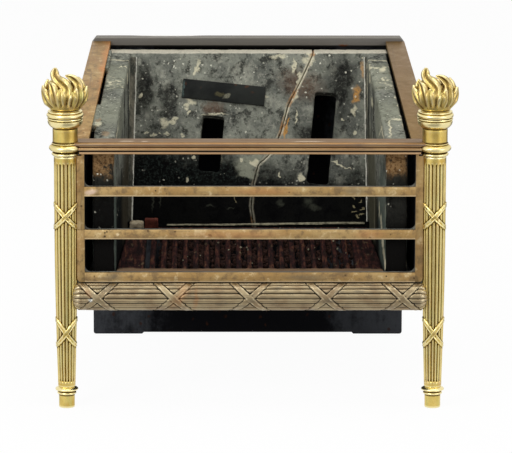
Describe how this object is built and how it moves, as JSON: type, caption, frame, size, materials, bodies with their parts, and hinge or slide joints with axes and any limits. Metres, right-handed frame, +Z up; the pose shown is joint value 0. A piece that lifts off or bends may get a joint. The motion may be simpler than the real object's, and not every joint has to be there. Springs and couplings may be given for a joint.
{
  "type": "fire grate",
  "caption": "Free-standing fire grate: a firebrick-lined iron basket behind brass bars, carried on reeded torch columns, with a loose bottom grate.",
  "frame": {"origin": "middle of the object's footprint, on the hearth", "axes": "+X to the right across the front, +Y from the front to the back, +Z up"},
  "size_m": [0.447, 0.3847, 0.3724],
  "materials": {
    "polished_brass": "worn polished brass with darker hollows",
    "facing_brass": "dull heat-darkened brass",
    "antique_brass": "antique brass with dark grooves",
    "black_iron": "blackleaded cast iron",
    "grate_iron": "rusty cast iron dusted with ash",
    "fireclay": "sooty rough fireclay",
    "brick": "broken firebrick",
    "fire_cement": "crumbly grey fire cement",
    "steel": "dull steel"
  },
  "bodies": {
    "frame": {"flame_left": "polished_brass", "flame_right": "polished_brass", "capital_left": "polished_brass", "capital_right": "polished_brass", "shaft_left": "polished_brass", "shaft_right": "polished_brass", "foot_left": "polished_brass", "foot_right": "polished_brass", "top_rail": "facing_brass", "bar_upper": "facing_brass", "bar_lower": "facing_brass", "bottom_bar": "facing_brass", "stile_left_lower": "facing_brass", "stile_left_upper": "facing_brass", "stile_right": "facing_brass", "side_rail_left": "facing_brass", "side_rail_right": "facing_brass", "reeded_rail": "antique_brass", "iron_grid": "black_iron", "cheek_left": "black_iron", "cheek_right": "black_iron", "back_plate": "black_iron", "slab_bearer": "black_iron", "iron_strip": "black_iron", "liner_left": "fireclay", "liner_right": "fireclay", "liner_back_left": "fireclay", "liner_back_right": "fireclay", "rod_left": "steel", "rod_right": "steel", "rod_nuts": "steel", "facing_screws": "steel", "reed_rail_screws": "steel", "cheek_studs": "steel", "column_screws": "steel", "rail_screws": "steel", "back_bolts": "steel", "back_nuts": "steel"},
    "grate": {"bottom_grate": "grate_iron", "packing_brick": "brick", "packing_lump": "fire_cement"}
  },
  "joints": [
    {"name": "grate_lift", "type": "slide", "parent": "frame", "child": "grate", "axis": [0, 0, 1], "range_m": [0, 0.13]}
  ]
}
